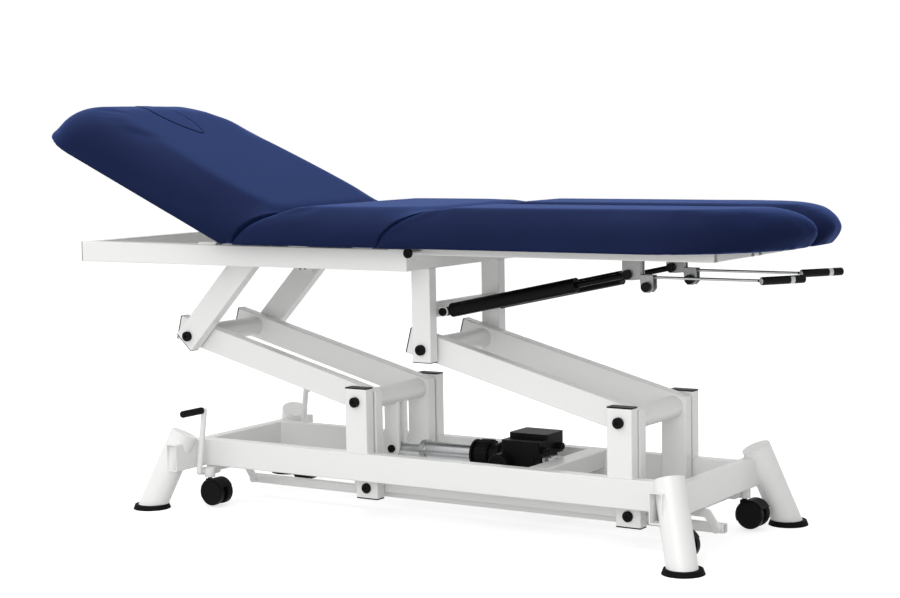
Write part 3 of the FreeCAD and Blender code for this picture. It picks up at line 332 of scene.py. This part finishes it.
def besideMiddle(tree, middle, reach):
    # 1 further than reach from the planes at this distance each side of the couch's middle, in mm
    split = tree.nodes.new("ShaderNodeSeparateXYZ")
    tree.links.new(objectPlace(tree), split.inputs[0])
    away = maths(tree, "SUBTRACT", maths(tree, "ABSOLUTE", split.outputs["Y"]), middle * mm)
    return maths(tree, "GREATER_THAN", maths(tree, "ABSOLUTE", away), reach * mm)


def alongWay(tree, start, way, bands):
    # 1 inside any of the bands, which are distances in mm from the start
    dot = tree.nodes.new("ShaderNodeVectorMath")
    dot.operation = "DOT_PRODUCT"
    tree.links.new(objectPlace(tree), dot.inputs[0])
    dot.inputs[1].default_value = way
    offset = start.dot(way)
    total = None
    for low, high in bands:
        above = maths(tree, "GREATER_THAN", dot.outputs["Value"], offset + low * mm)
        below = maths(tree, "LESS_THAN", dot.outputs["Value"], offset + high * mm)
        band = maths(tree, "MULTIPLY", above, below)
        total = band if total is None else maths(tree, "MAXIMUM", total, band)
    return total


def makeTwoFinish(name, metal, mask, *maskSettings):
    s = metalLooks[metal]
    tree, shader = newMaterial(name, Specular_IOR_Level=0.08)
    black = mask(tree, *maskSettings)
    colour = mixColour(tree, black, s["colour"], blackLooks["blackPlastic"]["colour"])
    addTone(tree, shader, colour, s["drift"], metalPattern["tone"])
    tree.links.new(maths(tree, "SUBTRACT", 1.0, black), shader.inputs["Metallic"])
    grain = addGrain(tree, twoFinishGrain["cells"], twoFinishGrain["fine"])
    rough = mapRange(tree, grain, 0.2, 0.9, s["rough"] - 0.06, s["rough"] + 0.08)
    tree.links.new(rough, shader.inputs["Roughness"])
    addBump(tree, shader, grain, 0.4, metalPattern["high"])


makePaint(paintLook)
for name, look in blackLooks.items():
    makeBlack(name, look)
for name in ("zincSteel", "greyAluminium"):
    makeMetal(name, metalLooks[name])
makeLeatherette(leatherLook)
makeLining(liningLook)
makeTwoFinish("bracketSteel", "darkZinc", besideMiddle, bracketLook["middle"], bracketLook["reach"])
gripWay = Vector((math.cos(gripLook["slant"]), math.sin(gripLook["slant"]), 0.0))
bendX, bendY, bendZ = gripLook["bend"]
for side, sign in (("Near", -1), ("Far", 1)):
    gripStart = at(bendX, bendY * sign, bendZ) - gripWay * gripLook["back"] * mm
    makeTwoFinish("handleSteel" + side, "zincSteel", alongWay, gripStart, gripWay, gripLook["black"])

finishOf = {
    "paintedSteel": ["base_side_rails", "base_cross_rails", "splayed_legs", "pivot_posts", "base_brackets",
                     "head_arm_sides", "head_arm_tubes", "foot_arm_sides", "foot_arm_tubes", "tie_bars",
                     "upper_side_rails", "upper_cross_rails", "upper_legs", "hinge_brackets", "head_shaft",
                     "foot_shaft", "castor_link", "backrest_frame", "leg_frame_near", "leg_frame_far"],
    "blackRubber": ["rubber_feet"],
    "blackPlastic": ["post_caps", "lower_pivot_bolts", "head_arm_caps", "foot_arm_caps", "upper_caps",
                     "pedal_grips", "control_box", "gear_housing", "motor_barrel", "wheels_head_near",
                     "wheels_head_far", "wheels_foot_near", "wheels_foot_far", "castor_head_near",
                     "castor_head_far", "castor_foot_near", "castor_foot_far"],
    "springLacquer": ["leg_spring_body_near", "leg_spring_body_far", "backrest_spring_body",
                      "leg_spring_rod_near", "leg_spring_rod_far", "backrest_spring_rod"],
    "zincSteel": ["actuator_eye"],
    "bracketSteel": ["leg_bracket_near", "leg_bracket_far"],
    "handleSteelNear": ["release_handle_near"],
    "handleSteelFar": ["release_handle_far"],
    "greyAluminium": ["actuator_tube", "actuator_rod"],
    "blackLining": ["seat_board", "backrest_board", "leg_board_near", "leg_board_far"],
    "navyLeatherette": ["seat_cushion", "backrest_cushion", "face_plug", "leg_cushion_near",
                        "leg_cushion_far"],
}
for finish, names in finishOf.items():
    for name in names:
        nodes[name].data.materials.clear()
        nodes[name].data.materials.append(bpy.data.materials[finish])
print("stage: materials")


# Helpers for modelling by hand
def pick(*objects):
    bpy.ops.object.select_all(action="DESELECT")
    for thing in objects:
        thing.select_set(True)
    bpy.context.view_layer.objects.active = objects[0]


def settle(piece):
    pick(piece)
    bpy.ops.object.transform_apply(location=True, rotation=True, scale=True)
    return piece


def addBlock(name, low, high):
    bpy.ops.object.select_all(action="DESELECT")
    middle = [(a + b) / 2 for a, b in zip(low, high)]
    bpy.ops.mesh.primitive_cube_add(size=1.0, location=at(*middle))
    piece = bpy.context.object
    piece.name = name
    piece.scale = [(b - a) * mm for a, b in zip(low, high)]
    return settle(piece)


def addCylinder(name, middle, radius, depth, way=(0, 0, 1), sides=48):
    bpy.ops.object.select_all(action="DESELECT")
    bpy.ops.mesh.primitive_cylinder_add(vertices=sides, radius=radius * mm, depth=depth * mm, location=at(*middle))
    piece = bpy.context.object
    piece.name = name
    piece.rotation_euler = Vector(way).to_track_quat("Z", "Y").to_euler()
    return settle(piece)


def applyAll(piece):
    pick(piece)
    for modifier in list(piece.modifiers):
        bpy.ops.object.modifier_apply(modifier=modifier.name)


def bevelUprights(piece, corners, segments=14):
    # rounds the upright edges of a block, each by its own radius in mm
    for x, y, radius in corners:
        pick(piece)
        bpy.ops.object.mode_set(mode="EDIT")
        bpy.ops.mesh.select_mode(type="EDGE")
        bpy.ops.mesh.select_all(action="DESELECT")
        mesh = bmesh.from_edit_mesh(piece.data)
        corner = at(x, y, 0)
        for edge in mesh.edges:
            near = all((v.co.xy - corner.xy).length < 0.0005 for v in edge.verts)
            edge.select_set(near)
        bmesh.update_edit_mesh(piece.data)
        bpy.ops.mesh.bevel(offset=radius * mm, segments=segments, affect="EDGES")
        bpy.ops.object.mode_set(mode="OBJECT")


def cutAway(piece, point, normal):
    # removes what lies on the side that the normal points to, and closes the cut
    pick(piece)
    bpy.ops.object.mode_set(mode="EDIT")
    bpy.ops.mesh.select_all(action="SELECT")
    bpy.ops.mesh.bisect(plane_co=point, plane_no=normal, use_fill=True, clear_outer=True)
    bpy.ops.object.mode_set(mode="OBJECT")


# Cushions. Each is a block whose sides are rolled in, then swelled by a cloth simulation.
hinge = at(-482.0, 0, 635.0)
restTilt = math.radians(24.2)
boardBottom = 645.3
cushions = {
    # Rolls, waists and spare are for the head, foot, near and far sides, in mm but for the waists, which
    # are shares of the height. A side is widest at its waist, and below that the tuck draws it in again.
    # Spare is how far the swell may go beyond the block.
    "seatPad": {"low": (-456, -310, boardBottom), "high": (112, 310, 724),
                "corners": [(-456, -310, 12), (-456, 310, 12)],
                "rolls": (160, 0, 72, 72), "waists": (0, 0, 0, 0), "tuck": 0,
                "spare": (0, 0, 4, 4), "swell": 8,
                "node": "seat_cushion", "board": "seat_board", "body": "upper_frame"},
    "legPadNear": {"low": (-50, -310, boardBottom), "high": (875, -2, 726),
                   "corners": [(875, -310, 265), (875, -2, 40), (-50, -310, 12), (-50, -2, 12)],
                   "rolls": (150, 104, 72, 42), "waists": (0, 0.42, 0, 0), "tuck": 46,
                   "spare": (0, 3, 4, 0), "swell": 7,
                   "node": "leg_cushion_near", "board": "leg_board_near", "body": "leg_near"},
    "legPadFar": {"low": (-50, 2, boardBottom), "high": (875, 310, 726),
                  "corners": [(875, 310, 265), (875, 2, 40), (-50, 310, 12), (-50, 2, 12)],
                  "rolls": (150, 104, 42, 72), "waists": (0, 0.42, 0, 0), "tuck": 46,
                  "spare": (0, 3, 0, 4), "swell": 7,
                  "node": "leg_cushion_far", "board": "leg_board_far", "body": "leg_far"},
    "headPad": {"low": (-1142, -310, boardBottom), "high": (-330, 310, 746),
                "corners": [(-1142, -310, 150), (-1142, 310, 150)],
                "rolls": (88, 0, 80, 80), "waists": (0, 0, 0, 0), "tuck": 0,
                "spare": (4, 9999, 4, 4), "swell": 8,
                "node": "backrest_cushion", "board": "backrest_board", "body": "backrest"},
}
padMesh = {"voxel": 0.008, "fineVoxel": 0.0042, "roundings": 12, "settlings": 16}
# Oval head ends of the seat and legs. The cushion before each one leans over it.
noses = {"seat": {"x": -290.0, "reach": 157.0, "high": 84.0}, "legs": {"x": 109.0, "reach": 150.0, "high": 84.0}}
noseGap = 1.0
noseTouch, noseCore = 1.03, 0.5  # shares of the oval: what leans on it, and what lies too deep to be pressed out
underside = {"cut": 0.5, "lined": 3, "held": 4}  # heights over the board's bottom
swelling = {"quality": 4, "pressure": 4.0, "frames": 20}
noseOf = {"seatPad": ("seat", "legs"), "legPadNear": ("legs", None), "legPadFar": ("legs", None),
          "headPad": (None, "seat")}  # own nose, and the nose that the cushion leans over
facePlug = {"x": -984.0, "long": 250.0, "wide": 90.0, "gap": 2.2, "proud": 1.0, "voxel": 0.0032}
layBack = Matrix.Translation(hinge) @ Matrix.Rotation(restTilt, 4, "Y") @ Matrix.Translation(-hinge)


def remesh(piece, voxel):
    piece.data.remesh_voxel_size = voxel
    pick(piece)
    bpy.ops.object.voxel_remesh()


def drawIn(height, roll, waist, tuck):
    # how far a side stands in from its widest place, at a share of the height
    if height >= waist:
        depth, share = roll, (height - waist) / (1.0 - waist)
    else:
        depth, share = tuck, (waist - height) / waist
    return depth * mm * (1.0 - math.sqrt(max(0.0, 1.0 - share * share)))


def rollSides(piece, s):
    # each level of the block is drawn in, so that the sides become elliptical
    low, high = at(*s["low"]), at(*s["high"])
    size = high - low
    for v in piece.data.vertices:
        swing = max(0.0, min(1.0, (v.co.z - low.z) / size.z)) * math.pi / 2
        height = math.sin(swing)
        head, foot, near, far = (
            drawIn(height, roll, waist, s["tuck"]) for roll, waist in zip(s["rolls"], s["waists"]))
        v.co.x = low.x + head + (v.co.x - low.x) * (1.0 - (head + foot) / size.x)
        v.co.y = low.y + near + (v.co.y - low.y) * (1.0 - (near + far) / size.y)
        v.co.z = low.z + size.z * height


def noseCylinder(nose):
    # a nose as a whole oval rod, for cutting the cushion that leans over it
    piece = addCylinder("noseCutter", (nose["x"], 0, boardBottom), 100.0, 900.0, way=(0, 1, 0), sides=128)
    middle = at(nose["x"], 0, boardBottom)
    stretch = Matrix.Diagonal(((nose["reach"] + noseGap) / 100.0, 1.0, (nose["high"] + noseGap) / 100.0, 1.0))
    piece.data.transform(Matrix.Translation(middle) @ stretch @ Matrix.Translation(-middle))
    return piece


def noseShare(point, nose, gap):
    # 1 on the nose's oval, less inside it
    middle = at(nose["x"], 0, boardBottom)
    return math.hypot((point.x - middle.x) / (nose["reach"] + gap), (point.z - middle.z) / (nose["high"] + gap)) / mm


def boolean(piece, other, operation):
    pick(piece)
    cut = piece.modifiers.new("cut", "BOOLEAN")
    cut.operation = operation
    cut.solver = "EXACT"
    cut.object = other
    bpy.ops.object.modifier_apply(modifier=cut.name)
    bpy.data.objects.remove(other, do_unlink=True)


def pressToNose(piece, own, under, toRest):
    # a cushion stays within its own nose's oval, and out of the next cushion's
    toFlat = toRest.inverted()
    for v in piece.data.vertices:
        place = toRest @ v.co
        for key, gap, inside in ((own, 0.0, True), (under, noseGap, False)):
            if key is None:
                continue
            middle = at(noses[key]["x"], 0, boardBottom)
            if place.x > middle.x or place.z < middle.z:
                continue
            share = noseShare(place, noses[key], gap)
            if (inside and share > 1.0) or (not inside and noseCore < share < 1.0):
                place.x = middle.x + (place.x - middle.x) / share
                place.z = middle.z + (place.z - middle.z) / share
                v.co = toFlat @ place


def holdBottom(piece, toRest, height, under):
    # the underside and the face that leans on the next nose don't swell
    held = piece.vertex_groups.new(name="held")
    free = piece.vertex_groups.new(name="free")
    for v in piece.data.vertices:
        leans = under and noseShare(toRest @ v.co, noses[under], noseGap) < noseTouch
        target = held if leans or v.co.z < height else free
        target.add([v.index], 1.0, "REPLACE")


def swellPad(piece, cap):
    before = [v.co.copy() for v in piece.data.vertices]
    pick(piece)
    bpy.ops.object.modifier_add(type="CLOTH")
    cloth = piece.modifiers[-1]
    cloth.settings.quality = swelling["quality"]
    cloth.settings.use_pressure = True
    cloth.settings.uniform_pressure_force = swelling["pressure"]
    cloth.settings.vertex_group_mass = "held"
    cloth.settings.effector_weights.gravity = 0.0
    cloth.point_cache.frame_start = 1
    cloth.point_cache.frame_end = swelling["frames"]
    scene = bpy.context.scene
    for frameNumber in range(1, swelling["frames"] + 1):
        scene.frame_set(frameNumber)
    bpy.ops.object.modifier_apply(modifier=cloth.name)
    scene.frame_set(1)
    for v, old in zip(piece.data.vertices, before):
        move = v.co - old
        if move.length > cap * mm:
            v.co = old + move.normalized() * cap * mm


def keepInPlan(piece, s):
    # the swell stops at the plan, so neighbours lie flat against each other
    low, high = at(*s["low"]), at(*s["high"])
    head, foot, near, far = (spare * mm for spare in s["spare"])
    for v in piece.data.vertices:
        v.co.x = max(low.x - head, min(high.x + foot, v.co.x))
        v.co.y = max(low.y - near, min(high.y + far, v.co.y))
        v.co.z = max(low.z, v.co.z)


def lineBottom(piece, height):
    # the black lining covers the underside and stops short of the edge
    for face in piece.data.polygons:
        if face.normal.z < -0.9 and face.center.z < height:
            face.material_index = 1
    pick(piece)
    bpy.ops.object.mode_set(mode="EDIT")
    bpy.ops.mesh.select_mode(type="FACE")
    bpy.ops.mesh.select_all(action="DESELECT")
    bpy.ops.object.mode_set(mode="OBJECT")
    for face in piece.data.polygons:
        face.select = face.material_index == 1
    bpy.ops.object.mode_set(mode="EDIT")
    bpy.ops.mesh.select_less()
    bpy.ops.mesh.select_less()
    bpy.ops.object.mode_set(mode="OBJECT")
    for face in piece.data.polygons:
        face.material_index = 1 if face.select else 0


def lensBlock(name, shrink):
    # the face hole's pointed oval: what two wide cylinders have in common
    half, wide = facePlug["long"] / 2, facePlug["wide"] / 2
    radius = (half * half + wide * wide) / (2 * wide)
    shift = radius - wide
    first = addCylinder(name, (facePlug["x"], -shift, 680), radius - shrink, 420.0, sides=256)
    second = addCylinder("lensSide", (facePlug["x"], shift, 680), radius - shrink, 420.0, sides=256)
    boolean(first, second, "INTERSECT")
    return first


def smoothBy(piece, rounds, group=""):
    smooth = piece.modifiers.new("rounding", "SMOOTH")
    smooth.factor = 0.5
    smooth.iterations = rounds
    smooth.vertex_group = group
    applyAll(piece)


def makePlug(pad):
    # the plug is cut from a slightly fuller copy of the cushion, so its top follows the cushion's
    plug = lensBlock("facePlug", facePlug["gap"])
    fuller = pad.copy()
    fuller.data = pad.data.copy()
    bpy.context.collection.objects.link(fuller)
    pick(fuller)
    bpy.ops.object.mode_set(mode="EDIT")
    bpy.ops.mesh.select_all(action="SELECT")
    bpy.ops.transform.shrink_fatten(value=facePlug["proud"] * mm)
    bpy.ops.object.mode_set(mode="OBJECT")
    boolean(plug, fuller, "INTERSECT")
    remesh(plug, facePlug["voxel"])
    smoothBy(plug, 4)
    return plug


def finishPad(piece):
    pick(piece)
    bpy.ops.object.shade_smooth()
    piece.data.materials.clear()
    for finish in ("navyLeatherette", "blackLining"):
        piece.data.materials.append(bpy.data.materials[finish])


def makePad(name, s):
    piece = addBlock(name, s["low"], s["high"])
    bevelUprights(piece, s["corners"])
    remesh(piece, padMesh["voxel"])
    rollSides(piece, s)
    toRest = layBack if name == "headPad" else Matrix.Identity(4)
    toFlat = toRest.inverted()
    if name == "headPad":
        cutAway(piece, toFlat @ at(0, 0, boardBottom + underside["cut"]), toFlat.to_3x3() @ Vector((0, 0, -1)))
    own, under = noseOf[name]
    if under:
        cutter = noseCylinder(noses[under])
        cutter.data.transform(toFlat)
        boolean(piece, cutter, "DIFFERENCE")
    remesh(piece, padMesh["voxel"])
    holdBottom(piece, toRest, at(0, 0, boardBottom + underside["held"]).z, under)
    smoothBy(piece, padMesh["roundings"], "free")
    swellPad(piece, s["swell"])
    smoothBy(piece, padMesh["settlings"], "free")
    keepInPlan(piece, s)
    pressToNose(piece, own, under, toRest)
    piece.vertex_groups.clear()
    return piece, toRest


for name, settings in cushions.items():
    pad, toRest = makePad(name, settings)
    if name == "headPad":
        plug = makePlug(pad)
        boolean(pad, lensBlock("hole", 0.0), "DIFFERENCE")
        remesh(pad, padMesh["fineVoxel"])
        smoothBy(pad, 4)
        finishPad(plug)
        plug.data.transform(toRest)
        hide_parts("face_plug")
        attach(plug, "face_plug")
    else:
        pad.modifiers.new("finer", "SUBSURF").levels = 1
        pad.modifiers["finer"].render_levels = 1
        applyAll(pad)
    finishPad(pad)
    lineBottom(pad, at(0, 0, boardBottom + underside["lined"]).z)
    pad.data.transform(toRest)
    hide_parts(settings["node"], settings["board"])
    if name == "headPad":
        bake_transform(pad)
    else:
        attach(pad, settings["body"])
    print("stage:", name, len(pad.data.vertices), "points")


# Toothed collar on the actuator's gear
gearCollar = {"from": (30.0, 151.4), "to": (60.0, 151.8), "radius": 33.3, "teeth": 22, "toothHigh": 2.4,
              "bevel": 0.6, "creaseAngle": 0.6}
bodyOf = {node: body for body, held in frame["record"]["behaviour"]["bodies"].items() for node in held}


def makeGearCollar(s):
    start, end = (at(x, 0, z) for x, z in (s["from"], s["to"]))
    middle = (start + end) / 2
    way = (end - start).normalized()
    place = ((middle.x - footFace) / mm, 0, middle.z / mm)
    piece = addCylinder("gearCollar", place, s["radius"], (end - start).length / mm, way, sides=s["teeth"] * 2)
    pick(piece)
    bpy.ops.object.mode_set(mode="EDIT")
    bpy.ops.mesh.select_mode(type="FACE")
    bpy.ops.mesh.select_all(action="DESELECT")
    mesh = bmesh.from_edit_mesh(piece.data)
    side = sorted((f for f in mesh.faces if abs(f.normal.dot(way)) < 0.5),
                  key=lambda f: math.atan2(f.normal.y, f.normal.z))
    for face in side[::2]:
        face.select_set(True)
    bmesh.update_edit_mesh(piece.data)
    bpy.ops.mesh.extrude_faces_indiv()
    bpy.ops.transform.shrink_fatten(value=s["toothHigh"] * mm)
    bpy.ops.object.mode_set(mode="OBJECT")
    bevel = piece.modifiers.new("soft", "BEVEL")
    bevel.width = s["bevel"] * mm
    bevel.segments = 2
    applyAll(piece)
    pick(piece)
    bpy.ops.object.shade_smooth_by_angle(angle=s["creaseAngle"])
    piece.data.materials.append(bpy.data.materials["blackPlastic"])
    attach(piece, bodyOf["gear_housing"])


makeGearCollar(gearCollar)
print("stage: gear collar")


# Floor, light and background
floorLook = {"size": 24.0, "tone": 0.62, "glow": 0.68}


def seenDirectly(tree, strength):
    # a value for camera, glossy and glass rays, and 0 for the light that falls on the object
    path = tree.nodes.new("ShaderNodeLightPath")
    total = path.outputs["Is Camera Ray"]
    for label in ("Is Glossy Ray", "Is Transmission Ray"):
        total = maths(tree, "MAXIMUM", total, path.outputs[label])
    return mapRange(tree, total, 0.0, 1.0, 0.0, strength)


def makeStage(s):
    bpy.ops.object.select_all(action="DESELECT")
    bpy.ops.mesh.primitive_plane_add(size=s["size"], location=(0, 0, 0))
    floor = bpy.context.object
    floor.name = "floor"
    tree, shader = newMaterial("paleFloor", Roughness=0.9, Specular_IOR_Level=0.0)
    shader.inputs["Base Color"].default_value = (s["tone"], s["tone"], s["tone"], 1.0)
    shader.inputs["Emission Color"].default_value = (1.0, 1.0, 1.0, 1.0)
    tree.links.new(seenDirectly(tree, s["glow"]), shader.inputs["Emission Strength"])
    floor.data.materials.append(bpy.data.materials["paleFloor"])


# The room lights the object at the ambient strength, and is plain white where it's seen
ambient = 0.66
lamps = {
    "topSoft": {"place": (-900, -500, 3200), "aim": (-100, 0, 500), "size": 3.4, "power": 76.0},
    "frontSoft": {"place": (1300, -3600, 1700), "aim": (0, 0, 500), "size": 2.6, "power": 50.0},
}


def makeLights():
    world = bpy.data.worlds.new("softRoom")
    bpy.context.scene.world = world
    world.use_nodes = True
    tree = world.node_tree
    background = tree.nodes["Background"]
    background.inputs["Color"].default_value = (1.0, 1.0, 1.0, 1.0)
    strength = maths(tree, "ADD", seenDirectly(tree, 1.0 - ambient), ambient)
    tree.links.new(strength, background.inputs["Strength"])
    for name, s in lamps.items():
        bpy.ops.object.light_add(type="AREA", location=at(*s["place"]))
        lamp = bpy.context.object
        lamp.name = name
        lamp.data.size = s["size"]
        lamp.data.energy = s["power"]
        lamp.rotation_euler = (at(*s["aim"]) - at(*s["place"])).to_track_quat("-Z", "Y").to_euler()


makeStage(floorLook)
makeLights()
bpy.context.scene.view_settings.view_transform = "Standard"
print("stage: floor and light")
